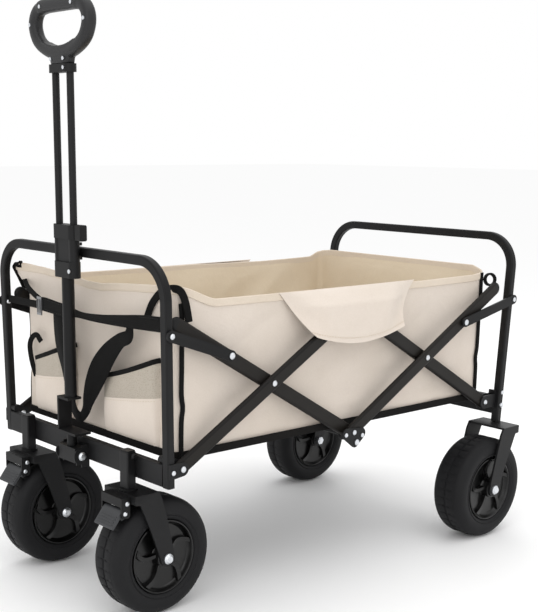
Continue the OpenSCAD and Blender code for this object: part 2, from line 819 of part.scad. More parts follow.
/* [Output] */
// which node to draw

front_hoop();
front_crossbar();
caster_posts();
front_brackets();
front_bolts();
handle_clevis();
front_webbing();
webbing_buckle();
arms_front_lower();
rivets_front();
arms_front_upper();
front_tips();
centre_bracket();
centre_bolts();
arms_rear_upper();
rear_tips();
rivets_rear();
arms_rear_lower();
front_links();
rear_links();
rear_hoop();
rear_crossbar();
rear_brackets();
rear_fork_left();
rear_fork_right();
rear_axles();
rear_bolts();
rear_tyre_left();
rear_tyre_right();
rear_rim_left();
rear_rim_right();
caster_fork_left();
caster_fork_right();
caster_axle_left();
caster_axle_right();
brake_housing_left();
brake_housing_right();
brake_pedal_left();
brake_pedal_right();
front_tyre_left();
front_tyre_right();
front_rim_left();
front_rim_right();
handle_tube();
handle_head();
handle_screws();
lock_button();
grip_rods();
grip_collar();
grip_ring();
grip_screws();
basket_left();
basket_right();
basket_front();
basket_rear();
basket_floor();
basket_pockets();
corner_hoods();
closure_strap();
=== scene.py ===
import bpy, bmesh, math
from mathutils import Matrix, Vector, noise


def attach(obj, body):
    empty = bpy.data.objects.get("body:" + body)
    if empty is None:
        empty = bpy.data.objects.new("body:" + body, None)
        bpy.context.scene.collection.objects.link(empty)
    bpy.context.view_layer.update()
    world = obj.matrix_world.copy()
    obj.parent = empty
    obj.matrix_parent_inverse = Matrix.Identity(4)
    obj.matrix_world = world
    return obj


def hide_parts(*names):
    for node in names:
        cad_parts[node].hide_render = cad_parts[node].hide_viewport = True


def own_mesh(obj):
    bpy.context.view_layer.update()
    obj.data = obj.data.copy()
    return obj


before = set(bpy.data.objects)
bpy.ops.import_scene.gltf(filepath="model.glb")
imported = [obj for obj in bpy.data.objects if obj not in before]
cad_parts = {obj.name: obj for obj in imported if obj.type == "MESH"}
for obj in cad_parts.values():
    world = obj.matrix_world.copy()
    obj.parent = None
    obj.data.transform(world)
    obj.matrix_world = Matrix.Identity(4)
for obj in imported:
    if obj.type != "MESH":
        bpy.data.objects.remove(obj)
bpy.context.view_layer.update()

# ---------------------------------------------------------------- studio
# A pale seamless floor, a broad overhead softbox, a window-sized fill and a weak rim light.
# The lens is a step outside the cart's front left corner, at about waist height.


def srgb(code):
    """Linear RGBA of an sRGB hex colour."""
    vals = [int(code[i:i + 2], 16) / 255 for i in (1, 3, 5)]
    return tuple(v / 12.92 if v < 0.04045 else ((v + 0.055) / 1.055) ** 2.4 for v in vals) + (1.0,)


def material(name, **sockets):
    """A new material's node tree and its Principled shader, with plain values on the shader."""
    mat = bpy.data.materials.new(name)
    mat.use_nodes = True
    shader = mat.node_tree.nodes["Principled BSDF"]
    for key, value in sockets.items():
        shader.inputs[key.replace("_", " ")].default_value = value
    return mat, mat.node_tree, shader


scene = bpy.context.scene
scene.view_settings.view_transform = "Standard"
lens_place = Vector((1.4785, 1.5941, 0.7687))
lens_back = Vector((0.6090, 0.7638, 0.2137)).normalized()
lens_right = Vector((0, 0, 1)).cross(lens_back).normalized()
lens_up = lens_back.cross(lens_right)
roll = math.radians(0.4)
right = math.cos(roll) * lens_right + math.sin(roll) * lens_up
up = math.cos(roll) * lens_up - math.sin(roll) * lens_right
camera = bpy.data.objects.new("camera", bpy.data.cameras.new("camera"))
scene.collection.objects.link(camera)
lens_turn = Matrix((right, up, lens_back)).transposed().to_4x4()
camera.matrix_world = Matrix.Translation(lens_place) @ lens_turn
camera.data.lens = 67.38
camera.data.sensor_width = 36
camera.data.shift_x, camera.data.shift_y = 0.1524, 0.1417
scene.camera = camera

world = bpy.data.worlds.new("white studio")
scene.world = world
world.use_nodes = True
sky = world.node_tree.nodes["Background"]
sky.inputs["Color"].default_value = (1, 1, 1, 1)
sky.inputs["Strength"].default_value = 1.0

for name, size, place, target, power in (
        ("overhead softbox", 3.2, (0.3, 0.6, 2.9), (0, 0, 0.3), 26),
        ("window fill", 1.8, (2.6, 1.6, 1.6), (0, 0, 0.4), 12),
        ("rim light", 1.2, (-2.2, -1.6, 1.7), (0, 0, 0.4), 8)):
    lamp = bpy.data.lights.new(name, "AREA")
    lamp.size, lamp.energy = size, power
    lamp_object = bpy.data.objects.new(name, lamp)
    scene.collection.objects.link(lamp_object)
    lamp_object.location = place
    aim = Vector(target) - Vector(place)
    lamp_object.rotation_euler = aim.to_track_quat("-Z", "Y").to_euler()

floor_mesh = bpy.data.meshes.new("floor")
reach = 30
floor_mesh.from_pydata([(-reach, -reach, 0), (reach, -reach, 0), (reach, reach, 0), (-reach, reach, 0)],
                       [], [(0, 1, 2, 3)])
floor = bpy.data.objects.new("floor", floor_mesh)
scene.collection.objects.link(floor)
paper, _, paper_shader = material("studio floor, matt white", Roughness=0.9, Specular_IOR_Level=0.0)
paper_shader.inputs["Base Color"].default_value = srgb("#FBFBFB")
floor_mesh.materials.append(paper)

# ---------------------------------------------------------------- powder-coated steel
# Hoops, crossbars, forks and brackets are pressed or bent mild steel with a satin black polyester
# powder coat: fine orange peel under a soft gloss, and convex edges painted paler as a painted highlight.


def add(tree, kind, links=None, **settings):
    """Adds a node: settings are attributes, links maps an input to a value or an output socket."""
    node = tree.nodes.new(kind)
    for key, value in settings.items():
        setattr(node, key, value)
    for key, value in (links or {}).items():
        socket = node.inputs[key]
        if isinstance(value, bpy.types.NodeSocket):
            tree.links.new(value, socket)
        else:
            socket.default_value = value
    return node


def object_coords(tree):
    """Object coordinates: metres in the cart's own frame, because every piece sits at the origin."""
    return add(tree, "ShaderNodeTexCoord").outputs["Object"]


def coat(name, base, painted_edge_highlight, roughness):
    """Powder coat: orange peel bump, broad gloss variation and convex edges painted paler as a painted
    highlight.
    """
    peel_mm = 1.6
    mat, tree, shader = material(name, Specular_IOR_Level=0.22)
    coords = object_coords(tree)
    broad = add(tree, "ShaderNodeTexNoise", {"Vector": coords, "Scale": 9.0, "Detail": 3.0})
    edge = add(tree, "ShaderNodeNewGeometry").outputs["Pointiness"]
    # convex edges, found by pointiness, are painted paler: a painted highlight along the edges
    painted_highlight_mask = add(tree, "ShaderNodeMapRange",
              {"Value": edge, "From Min": 0.51, "From Max": 0.60, "To Min": 0.0, "To Max": 0.45})
    mix = add(tree, "ShaderNodeMix", {"Factor": painted_highlight_mask.outputs[0]}, data_type="RGBA")
    mix.inputs[6].default_value = srgb(base)
    mix.inputs[7].default_value = srgb(painted_edge_highlight)
    tree.links.new(mix.outputs[2], shader.inputs["Base Color"])
    gloss = add(tree, "ShaderNodeMapRange", {"Value": broad.outputs[0], "From Min": 0.3, "From Max": 0.7,
                                             "To Min": roughness - 0.05, "To Max": roughness + 0.07})
    tree.links.new(gloss.outputs[0], shader.inputs["Roughness"])
    peel = add(tree, "ShaderNodeTexNoise", {"Vector": coords, "Scale": 1000 / peel_mm, "Detail": 2.0})
    bump = add(tree, "ShaderNodeBump", {"Height": peel.outputs[0], "Strength": 0.12, "Distance": 0.0002})
    tree.links.new(bump.outputs[0], shader.inputs["Normal"])
    return mat


def finish_nodes(mat, slot_name, *nodes):
    """Gives CAD nodes their material; slot_name is not used."""
    for node in nodes:
        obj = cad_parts[node]
        obj.data.materials.clear()
        obj.data.materials.append(mat)


powder = coat("powder-coated mild steel, satin black", "#0D0D0E", "#222223", 0.48)
finish_nodes(powder, "powder", "front_hoop", "front_crossbar", "caster_posts", "front_brackets",
             "handle_clevis", "rear_hoop", "rear_crossbar", "rear_brackets", "rear_fork_left",
             "rear_fork_right", "caster_fork_left", "caster_fork_right", "centre_bracket",
             "handle_tube", "grip_rods", "front_links", "rear_links")

# ---------------------------------------------------------------- scissor arms
# Flattened oval steel tube, 25 by 10 mm, coated in the same powder but a shade warmer from the bake,
# with moulded end plugs pressed into the hooked tips.
arm_coat = coat("powder-coated oval tube, warm black", "#0F0C0A", "#24211D", 0.5)
finish_nodes(arm_coat, "arm_steel", "arms_front_lower", "arms_front_upper", "arms_rear_lower",
             "arms_rear_upper")

# ---------------------------------------------------------------- rivets, bolts and axles
# Bright zinc-plated steel, tumbled: a pale blue-grey metal with a fine uneven gloss. Rivets that close
# a coated or moulded piece share its node, so their heads are plated face by face.
zinc, zinc_tree, zinc_shader = material("bright zinc-plated steel", Metallic=1.0)
zinc_shader.inputs["Base Color"].default_value = srgb("#D9DCE0")
zinc_noise = add(zinc_tree, "ShaderNodeTexNoise",
                 {"Vector": object_coords(zinc_tree), "Scale": 900.0, "Detail": 4.0})
zinc_range = add(zinc_tree, "ShaderNodeMapRange",
                 {"Value": zinc_noise.outputs[0], "To Min": 0.22, "To Max": 0.48})
zinc_tree.links.new(zinc_range.outputs[0], zinc_shader.inputs["Roughness"])
finish_nodes(zinc, "zinc", "front_bolts", "rivets_front", "centre_bolts", "rivets_rear", "rear_axles",
             "rear_bolts", "caster_axle_left", "caster_axle_right", "handle_screws", "grip_screws")


def bright_heads(name, axes, radius, beyond):
    """Zinc on a CAD node's rivet heads: faces within radius of an axis (x, z), where beyond(y) holds."""
    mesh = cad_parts[name].data
    mesh.materials.append(zinc)
    for face in mesh.polygons:
        x, y, z = face.center
        if beyond(y) and any(math.hypot(x - ax, z - az) < radius for ax, az in axes):
            face.material_index = len(mesh.materials) - 1


link_rivet_x, link_rivet_z, link_face = 0.2954, 0.4382, 0.2530
for label, end in (("front", 1), ("rear", -1)):
    bright_heads(label + "_links", [(end * link_rivet_x, link_rivet_z)], 0.0058,
                 lambda y: abs(y) > link_face)

# ---------------------------------------------------------------- moulded plastics
# Injection-moulded nylon and ABS: arm plugs, brake housings, handle clamp, collar and button in black
# with a fine spark-eroded texture; pedals in dark grey, painted a lighter mid grey as a painted highlight;
# the spade grip in dark grey.


def moulded(name, colour, roughness, grain_mm=0.9, depth=0.25):
    """Moulded plastic: a spark-eroded grain and a slow, slight drift in its colour."""
    mat, tree, shader = material(name, Specular_IOR_Level=0.28)
    coords = object_coords(tree)
    tint = add(tree, "ShaderNodeTexNoise", {"Vector": coords, "Scale": 14.0, "Detail": 2.0})
    mix = add(tree, "ShaderNodeMix", {"Factor": tint.outputs[0]}, data_type="RGBA")
    base = srgb(colour)
    mix.inputs[6].default_value = tuple(c * 0.86 for c in base[:3]) + (1,)
    mix.inputs[7].default_value = tuple(min(1, c * 1.14) for c in base[:3]) + (1,)
    tree.links.new(mix.outputs[2], shader.inputs["Base Color"])
    shader.inputs["Roughness"].default_value = roughness
    grain = add(tree, "ShaderNodeTexNoise", {"Vector": coords, "Scale": 1000 / grain_mm, "Detail": 1.0})
    bump = add(tree, "ShaderNodeBump", {"Height": grain.outputs[0], "Strength": depth, "Distance": 0.0001})
    tree.links.new(bump.outputs[0], shader.inputs["Normal"])
    return mat


nylon = moulded("moulded nylon, matt black", "#0A0A0B", 0.52)
finish_nodes(nylon, "moulded", "front_tips", "rear_tips", "brake_housing_left", "brake_housing_right",
             "handle_head", "lock_button", "grip_collar")
caster_y, cheek_half = 0.1525, 0.02801
for label, side in (("left", 1), ("right", -1)):
    bright_heads("brake_housing_" + label, [(0.449, 0.204), (0.453, 0.188)], 0.0043,
                 lambda y, side=side: abs(y - side * caster_y) > cheek_half)
# the pedals' dark grey plastic is painted a lighter mid grey: a painted highlight standing for the gloss on
# their tops
pedal_abs = moulded("moulded ABS, dark grey under a painted highlight", "#3C3D3F", 0.55, 1.2, 0.4)
finish_nodes(pedal_abs, "pedal_grey", "brake_pedal_left", "brake_pedal_right")
grip_abs = moulded("moulded ABS, dark grey", "#262627", 0.42, 1.0, 0.2)

# ---------------------------------------------------------------- wheels
# Wide beach wheels: a matt polyurethane-foam tyre with rounded shoulders and low square blocks, on a
# blow-moulded gloss black rim with five ribs on each side of a closed web and a long hub.


def new_object(name, mesh):
    """An object for mesh at the origin, linked to the scene."""
    obj = bpy.data.objects.new(name, mesh)
    scene.collection.objects.link(obj)
    return obj


def smooth(mesh, angle=40):
    """Smooth shading, with edges sharper than angle kept crisp."""
    mesh.polygons.foreach_set("use_smooth", [True] * len(mesh.polygons))
    mesh.set_sharp_from_angle(angle=math.radians(angle))
    mesh.update()


def skin(rings, around, start=0, looped=False, seamed=True):
    """Quads over rings of points: looped joins the last ring to the first, seamed closes each one."""
    faces = []
    for i in range(rings if looped else rings - 1):
        here, there = start + i * around, start + (i + 1) % rings * around
        for j in range(around if seamed else around - 1):
            k = (j + 1) % around
            faces.append((here + j, here + k, there + k, there + j))
    return faces


def caps(rings, around, start=0):
    """The two end faces of a row of rings."""
    last = start + (rings - 1) * around
    return [tuple(range(start + around - 1, start - 1, -1)), tuple(range(last, last + around))]


def mesh_from(name, verts, faces, mat, angle=40):
    """A mesh object from points and faces, its doubles merged and its normals outward."""
    mesh = bpy.data.meshes.new(name)
    mesh.from_pydata([tuple(v) for v in verts], [], faces)
    work = bmesh.new()
    work.from_mesh(mesh)
    bmesh.ops.remove_doubles(work, verts=work.verts, dist=1e-6)
    bmesh.ops.recalc_face_normals(work, faces=work.faces)
    work.to_mesh(mesh)
    work.free()
    mesh.materials.append(mat)
    smooth(mesh, angle)
    return new_object(name, mesh)


def revolve(name, profile, turns, mat, centre, angle=40):
    """A closed profile of (radius, y) turned about the Y axis through centre."""
    verts = []
    for i in range(turns):
        a = 2 * math.pi * i / turns
        verts += [(centre[0] + r * math.cos(a), centre[1] + y, centre[2] + r * math.sin(a))
                  for r, y in profile]
    return mesh_from(name, verts, skin(turns, len(profile), looped=True), mat, angle)


def new_tree(name, **sockets):
    """A Geometry Nodes tree with a geometry input and output, and named inputs of the given kinds."""
    tree = bpy.data.node_groups.new(name, "GeometryNodeTree")
    tree.interface.new_socket("Geometry", in_out="INPUT", socket_type="NodeSocketGeometry")
    for key, kind in sockets.items():
        tree.interface.new_socket(key, in_out="INPUT", socket_type="NodeSocket" + kind)
    tree.interface.new_socket("Geometry", in_out="OUTPUT", socket_type="NodeSocketGeometry")
    return tree


def ring_tree(name):
    """Geometry Nodes: copies the object's mesh round the Y axis, Count times about Centre."""
    tree = new_tree(name, Count="Int", Centre="Vector", Finish="Material")
    given = add(tree, "NodeGroupInput")
    line = add(tree, "GeometryNodeMeshLine", {"Count": given.outputs["Count"], "Offset": (0, 0, 0)})
    index = add(tree, "GeometryNodeInputIndex")
    step = add(tree, "ShaderNodeMath", {0: 2 * math.pi, 1: given.outputs["Count"]}, operation="DIVIDE")
    turn = add(tree, "ShaderNodeMath", {0: index.outputs[0], 1: step.outputs[0]}, operation="MULTIPLY")
    spin = add(tree, "ShaderNodeCombineXYZ", {"Y": turn.outputs[0]})
    copies = add(tree, "GeometryNodeInstanceOnPoints",
                 {"Points": line.outputs[0], "Instance": given.outputs["Geometry"],
                  "Rotation": spin.outputs[0]})
    real = add(tree, "GeometryNodeRealizeInstances", {0: copies.outputs[0]})
    moved = add(tree, "GeometryNodeTransform",
                {"Geometry": real.outputs[0], "Translation": given.outputs["Centre"]})
    painted = add(tree, "GeometryNodeSetMaterial",
                  {"Geometry": moved.outputs[0], "Material": given.outputs["Finish"]})
    add(tree, "NodeGroupOutput", {0: painted.outputs[0]})
    return tree


def run_tree(obj, tree, name, **inputs):
    """Evaluates obj through tree into a plain mesh object called name, and removes obj."""
    modifier = obj.modifiers.new("make", "NODES")
    modifier.node_group = tree
    for item in tree.interface.items_tree:
        if item.item_type == "SOCKET" and item.in_out == "INPUT" and item.name in inputs:
            modifier[item.identifier] = inputs[item.name]
    graph = bpy.context.evaluated_depsgraph_get()
    mesh = bpy.data.meshes.new_from_object(obj.evaluated_get(graph))
    mesh.name = name
    bpy.data.objects.remove(obj)
    result = new_object(name, mesh)
    smooth(mesh)
    return result


def join(name, *objs):
    """One mesh object from several, each keeping its own finish."""
    work = bmesh.new()
    finishes = []
    for obj in objs:
        start = len(work.faces)
        work.from_mesh(obj.data)
        work.faces.ensure_lookup_table()
        for m in obj.data.materials:
            if m not in finishes:
                finishes.append(m)
        table = [finishes.index(m) for m in obj.data.materials] or [0]
        for f in list(work.faces)[start:]:
            f.material_index = table[min(f.material_index, len(table) - 1)]
    mesh = bpy.data.meshes.new(name)
    work.to_mesh(mesh)
    work.free()
    for m in finishes:
        mesh.materials.append(m)
    for obj in objs:
        bpy.data.objects.remove(obj)
    smooth(mesh)
    return new_object(name, mesh)


wheel_r, tyre_half, seat_r = 0.1, 0.035, 0.063
foam_pu = moulded("foamed polyurethane, matt charcoal", "#111113", 0.68, 2.2, 0.35)
rim_pp, rim_tree, rim_shader = material("blow-moulded polypropylene, gloss black",
                                        Roughness=0.28, Specular_IOR_Level=0.4)
rim_shader.inputs["Base Color"].default_value = srgb("#070707")
rim_flow = add(rim_tree, "ShaderNodeTexNoise",
               {"Vector": object_coords(rim_tree), "Scale": 60.0, "Detail": 2.0})
rim_bump = add(rim_tree, "ShaderNodeBump",
               {"Height": rim_flow.outputs[0], "Strength": 0.1, "Distance": 0.0006})
rim_tree.links.new(rim_bump.outputs[0], rim_shader.inputs["Normal"])


def tyre_profile():
    """Round-shouldered section with a groove line on each wall, as (radius, y)."""
    top, shoulder = wheel_r - 0.0007, 0.017
    half = [(seat_r, 0.0), (seat_r, tyre_half - 0.006), (seat_r + 0.0035, tyre_half - 0.0015),
            (seat_r + 0.007, tyre_half), (seat_r + 0.0085, tyre_half - 0.0012),
            (seat_r + 0.010, tyre_half)]
    for i in range(9):
        a = math.radians(90 * i / 8)
        half.append((top - shoulder + shoulder * math.sin(a),
                     tyre_half - shoulder + shoulder * math.cos(a)))
    half += [(top, 0.009), (top - 0.0009, 0.0075)]
    return [(r, -y) for r, y in reversed(half)][:-1] + half


def rim_profile():
    """Barrel with a rolled lip, dished web and hub, as (radius, y)."""
    half = [(0.0605, tyre_half - 0.0095), (0.0622, tyre_half - 0.0045), (0.0625, tyre_half - 0.0025),
            (0.0605, tyre_half - 0.0020), (0.0585, tyre_half - 0.005), (0.0575, 0.0265),
            (0.0545, 0.0235), (0.0300, 0.0215), (0.0195, 0.0225), (0.0172, 0.0255),
            (0.0165, 0.0375), (0.0150, 0.0383), (0.0054, 0.0383)]
    return half + [(r, -y) for r, y in reversed(half)]


rings = ring_tree("round the axle")


block_count, rib_count = 36, 5


def wheel(tyre_name, rim_name, body, x, y, nodes):
    """A tyre with its tread blocks and a rim with its ribs, in place of the two CAD nodes."""
    centre = (x, y, wheel_r)
    carcass = revolve(tyre_name + "_carcass", tyre_profile(), 128, foam_pu, centre, 30)
    # one low block on each side of the tread's middle, copied round the tyre
    verts, faces = [], []
    for side in (-1, 1):
        base = len(verts)
        for radius in (wheel_r - 0.004, wheel_r - 0.00045, wheel_r):
            inset = 0.0012 if radius == wheel_r else 0.0
            for along, across in ((-1, 0), (1, 0), (1, 1), (-1, 1)):
                angle = along * (0.074 - inset * 8)
                y_at = side * ((0.0022 + inset) if across == 0 else (0.0185 - inset))
                verts.append((radius * math.sin(angle), y_at, radius * math.cos(angle)))
        faces += skin(3, 4, base) + caps(3, 4, base)
    block = mesh_from(tyre_name + "_block", verts, faces, foam_pu)
    blocks = run_tree(block, rings, tyre_name + "_blocks", Count=block_count, Centre=centre,
                      Finish=foam_pu)
    tyre = join(tyre_name, carcass, blocks)
    disc = revolve(rim_name + "_disc", rim_profile(), 96, rim_pp, centre, 35)
    # one curved rib on each side of the web, from the hub out to the barrel
    hub_r, barrel_r = 0.0160, 0.0575
    verts, faces = [], []
    for side in (-1, 1):
        base, steps = len(verts), 10
        for i in range(steps + 1):
            r = hub_r + (barrel_r - hub_r) * i / steps
            bend = 0.010 * math.sin(math.pi * i / steps)
            wide = 0.0042 + 0.0018 * i / steps
            deep = 0.0318 - 0.004 * math.sin(math.pi * i / steps)
            for dx, h in ((-wide, 0.020), (-wide * 0.72, deep), (wide * 0.72, deep), (wide, 0.020)):
                verts.append((bend + dx, side * h, r))
        faces += skin(steps + 1, 4, base) + caps(steps + 1, 4, base)
    rib = mesh_from(rim_name + "_rib", verts, faces, rim_pp)
    ribs = run_tree(rib, rings, rim_name + "_ribs", Count=rib_count, Centre=centre, Finish=rim_pp)
    rim = join(rim_name, disc, ribs)
    for obj, slot_name, node in ((tyre, "wheel_tyre", nodes[0]), (rim, "wheel_rim", nodes[1])):
        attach(obj, body)
        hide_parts(node)


for label, body, side in (("left", "wheel_fl", 1), ("right", "wheel_fr", -1)):
    wheel("front_tread_" + label, "front_hubcap_" + label, body, 0.377, side * caster_y,
          ("front_tyre_" + label, "front_rim_" + label))
for label, body, side in (("left", "wheel_rl", 1), ("right", "wheel_rr", -1)):
    wheel("rear_tread_" + label, "rear_hubcap_" + label, body, -0.3735, side * 0.243,
          ("rear_tyre_" + label, "rear_rim_" + label))

# ---------------------------------------------------------------- spade grip
# A moulded D grip in two screwed halves: a flared neck that splits into a rounded ring under a straight
# hand bar. Here neck and ring are fused and relaxed, so that they blend as one moulding.
handle_hinge = Vector((0.4335, 0, 0.247))
lean = math.radians(0.8)


def on_handle(x, y, s):
    """A point in the handle's own leaning frame, s up from its hinge."""
    return handle_hinge + Vector((x * math.cos(lean) + s * math.sin(lean), y,
                                  s * math.cos(lean) - x * math.sin(lean)))


def through(points, steps, closed=False):
    """Catmull-Rom points through the given ones."""
    pts = [Vector(p) for p in points]
    count, out = len(pts), []
    last = count if closed else count - 1
    for i in range(last):
        if closed:
            a, b, c, d = pts[i - 1], pts[i], pts[(i + 1) % count], pts[(i + 2) % count]
        else:
            b, c = pts[i], pts[i + 1]
            a = pts[i - 1] if i else b * 2 - c
            d = pts[i + 2] if i + 2 < count else c * 2 - b
        for k in range(steps):
            t = k / steps
            out.append(0.5 * ((2 * b) + (c - a) * t + (2 * a - 5 * b + 4 * c - d) * t * t
                              + (3 * b - a - 3 * c + d) * t ** 3))
    if not closed:
        out.append(pts[-1])
    return out


def squared(angle, power):
    """Cosine and sine of angle, squared off: 1 gives a circle, less gives a rounder-cornered box."""
    return [math.copysign(abs(v) ** power, v) for v in (math.cos(angle), math.sin(angle))]


# the ring's half outline from its foot to the middle of the hand bar, as millimetres (y, up)
neck_s = 0.642
half_ring = [(0, 17), (24, 19), (44, 25.5), (60, 34), (70, 44), (76.5, 60), (74, 75), (63, 86.5),
             (45, 91), (22, 91.5)]
ring_points = [(0, y / 1000, s / 1000) for y, s in half_ring]
ring_points += [(0, 0, 0.0915)] + [(0, -p[1], p[2]) for p in reversed(ring_points[1:])]
ring_path = through(ring_points, 8, closed=True)
verts, sides = [], 20
for i, p in enumerate(ring_path):
    ahead = (ring_path[(i + 1) % len(ring_path)] - ring_path[i - 1]).normalized()
    across = Vector((1, 0, 0)).cross(ahead).normalized()
    bar = max(0.0, min(1.0, (p.z - 0.082) / 0.008)) if abs(p.y) < 0.056 else 0.0
    deep, wide = 0.0112 + 0.0008 * bar, 0.0106 + 0.0010 * bar
    for k in range(sides):
        x, w = squared(2 * math.pi * k / sides, 0.8)
        q = p + across * w * wide
        verts.append(on_handle(x * deep, q.y, neck_s + q.z))
grip_loop = mesh_from("grip_loop", verts, skin(len(ring_path), sides, looped=True), grip_abs)
# neck: a squared oval that flares up into the ring, as (up, half width in millimetres)
verts, sides, neck_half = [], 40, 0.0108
levels = [(0.0, 25.5), (0.004, 26), (0.009, 27.5), (0.014, 33), (0.019, 41), (0.024, 49),
          (0.030, 57), (0.036, 64)]
for s, half in levels:
    for k in range(sides):
        x, y = squared(2 * math.pi * k / sides, 0.55)
        verts.append(on_handle(x * neck_half, y * half / 1000, neck_s + s))
grip_neck = mesh_from("grip_neck", verts, skin(len(levels), sides) + caps(len(levels), sides), grip_abs)
# cut the finger opening out of the neck, then fuse neck and ring as one moulding
inner = [Vector((0, 0.066 * math.cos(math.radians(a)), 0.061 + 0.033 * math.sin(math.radians(a))))
         for a in range(180, 361, 10)] + [Vector((0, 0.064, 0.076)), Vector((0, -0.064, 0.076))]
verts = [on_handle(x, p.y, neck_s + p.z) for x in (-0.03, 0.03) for p in inner]
cutter = mesh_from("opening_cutter", verts, skin(2, len(inner)) + caps(2, len(inner)), grip_abs)
for operand, operation in ((cutter, "DIFFERENCE"), (grip_loop, "UNION")):
    modifier = grip_neck.modifiers.new("cut", "BOOLEAN")
    modifier.object, modifier.operation, modifier.solver = operand, operation, "EXACT"
melt = grip_neck.modifiers.new("melt", "REMESH")
melt.mode, melt.voxel_size, melt.use_smooth_shade = "VOXEL", 0.0016, True
relax = grip_neck.modifiers.new("relax", "SMOOTH")
relax.factor, relax.iterations = 0.5, 6
graph = bpy.context.evaluated_depsgraph_get()
grip_mesh = bpy.data.meshes.new_from_object(grip_neck.evaluated_get(graph))
for spare in (grip_neck, grip_loop, cutter):
    bpy.data.objects.remove(spare)
grip_mesh.materials.clear()
grip_mesh.materials.append(grip_abs)
spade_grip = new_object("spade_grip", grip_mesh)
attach(spade_grip, "grip")
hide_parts("grip_ring")

# ---------------------------------------------------------------- basket walls
# One tub of 600D polyester oxford, PVC backed, sewn round the four corners and hung from the arm tips,
# so it hangs flat between arms with soft diagonal creases. Its rim stands up at both front corners.


def oxford(name, colour, shade, thread_mm=2.2, depth=0.35, sheen=0.15):
    """Plain weave drawn coarser than its real 0.6 mm threads, with slow dye and crease variation."""
    mat, tree, shader = material(name, Roughness=0.85, Specular_IOR_Level=0.2)
    shader.inputs["Sheen Weight"].default_value = sheen
    shader.inputs["Sheen Roughness"].default_value = 0.5
    coords = object_coords(tree)
    # the wave node repeats every 2 pi / 20 at scale 1; the cloth is drawn 2 % tighter than that
    band_scale = 1.0191 * 2 * math.pi / 20 * 1000 / thread_mm
    weave = []
    for axis in ("X", "Y", "Z"):
        wave = add(tree, "ShaderNodeTexWave",
                   {"Vector": coords, "Scale": band_scale, "Distortion": 0.6, "Detail": 1.0,
                    "Detail Scale": 2.0},
                   wave_type="BANDS", bands_direction=axis)
        weave.append(wave.outputs[1])
    first = add(tree, "ShaderNodeMath", {0: weave[0], 1: weave[1]}, operation="ADD")
    both = add(tree, "ShaderNodeMath", {0: first.outputs[0], 1: weave[2]}, operation="ADD")
    broad = add(tree, "ShaderNodeTexNoise", {"Vector": coords, "Scale": 5.0, "Detail": 5.0, "Roughness": 0.6})
    fleck = add(tree, "ShaderNodeTexNoise", {"Vector": coords, "Scale": 420.0, "Detail": 2.0})
    blend_in = add(tree, "ShaderNodeMath", {0: fleck.outputs[0], 1: 0.35}, operation="MULTIPLY")
    factor = add(tree, "ShaderNodeMath", {0: broad.outputs[0], 1: blend_in.outputs[0]}, operation="ADD")
    spread = add(tree, "ShaderNodeMapRange", {"Value": factor.outputs[0], "From Min": 0.45, "From Max": 0.95})
    mix = add(tree, "ShaderNodeMix", {"Factor": spread.outputs[0]}, data_type="RGBA")
    mix.inputs[6].default_value = srgb(colour)
    mix.inputs[7].default_value = srgb(shade)
    tree.links.new(mix.outputs[2], shader.inputs["Base Color"])
    cloth_bump = add(tree, "ShaderNodeBump",
                     {"Height": both.outputs[0], "Strength": depth, "Distance": 0.0002})
    crease = add(tree, "ShaderNodeTexNoise",
                 {"Vector": coords, "Scale": 22.0, "Detail": 4.0, "Distortion": 0.8})
    soft = add(tree, "ShaderNodeBump", {"Height": crease.outputs[0], "Strength": 0.25, "Distance": 0.004,
                                        "Normal": cloth_bump.outputs[0]})
    tree.links.new(soft.outputs[0], shader.inputs["Normal"])
    return mat


canvas = oxford("polyester oxford, warm beige", "#DBD0C5", "#CFC3B6")
lining = oxford("polyester oxford, PVC-backed inner face", "#DACDB8", "#CEBFA8")
half_l, half_w = 0.3842, 0.2222
floor_z, rim_z = 0.2735, 0.527
corner_r = 0.014


def perimeter(step):
    """Points of the basket's rounded rectangle as (x, y, nx, ny), with the normal outward."""
    out = []
    straight_x, straight_y = half_l - corner_r, half_w - corner_r
    corners = [(straight_x, straight_y, 0), (-straight_x, straight_y, 90),
               (-straight_x, -straight_y, 180), (straight_x, -straight_y, 270)]
    for i, (cx, cy, start) in enumerate(corners):
        for k in range(6):
            a = math.radians(start + 90 * k / 6)
            out.append((cx + corner_r * math.cos(a), cy + corner_r * math.sin(a), math.cos(a), math.sin(a)))
        a = math.radians(start + 90)
        nx, ny = math.cos(a), math.sin(a)
        bx, by = cx + corner_r * nx, cy + corner_r * ny
        ex, ey, _ = corners[(i + 1) % 4]
        ex, ey = ex + corner_r * nx, ey + corner_r * ny
        length = math.hypot(ex - bx, ey - by)
        count = max(2, round(length / step))
        for k in range(count):
            t = k / count
            out.append((bx + (ex - bx) * t, by + (ey - by) * t, nx, ny))
    return out


def corner_distance(x, y):
    """How far a point of the plan is from the basket's nearest corner."""
    return math.hypot(half_l - abs(x), half_w - abs(y))


def rim_height(x, y):
    """Level along the sides, higher at both ends; only the front corners stand up."""
    corner = corner_distance(x, y)
    if abs(x) > half_l - 0.004:
        base = rim_z + 0.0095
        near = max(0.0, 1 - corner / 0.200) ** 0.8 if x > 0 else max(0.0, 1 - corner / 0.030)
    else:
        base = rim_z - 0.003 * math.cos(min(1, abs(x) / half_l) * math.pi / 2)
        if x < 0:
            base -= 0.005 * min(1.0, abs(x) / 0.2)
        near = max(0.0, 1 - corner / (0.085 if x > 0 else 0.040))
        near = near * near * (3 - 2 * near)
    peak = 0.5515 if x > 0 else (0.5255 if y > 0 else 0.5330)
    return base + (peak - base) * near


def hood(x, y, z):
    """How far the top of a corner stands out over its arm tip, as (dx, dy)."""
    near = max(0.0, 1 - corner_distance(x, y) / 0.062)
    rise = min(1.0, max(0.0, (z - 0.495) / 0.045))
    reach = 0.022 if x > 0 > y else (0.006 if x > 0 else 0.0)
    grow = reach * near ** 1.3 * rise * rise * (3 - 2 * rise)
    return math.copysign(grow, x), math.copysign(grow * 0.55, y)


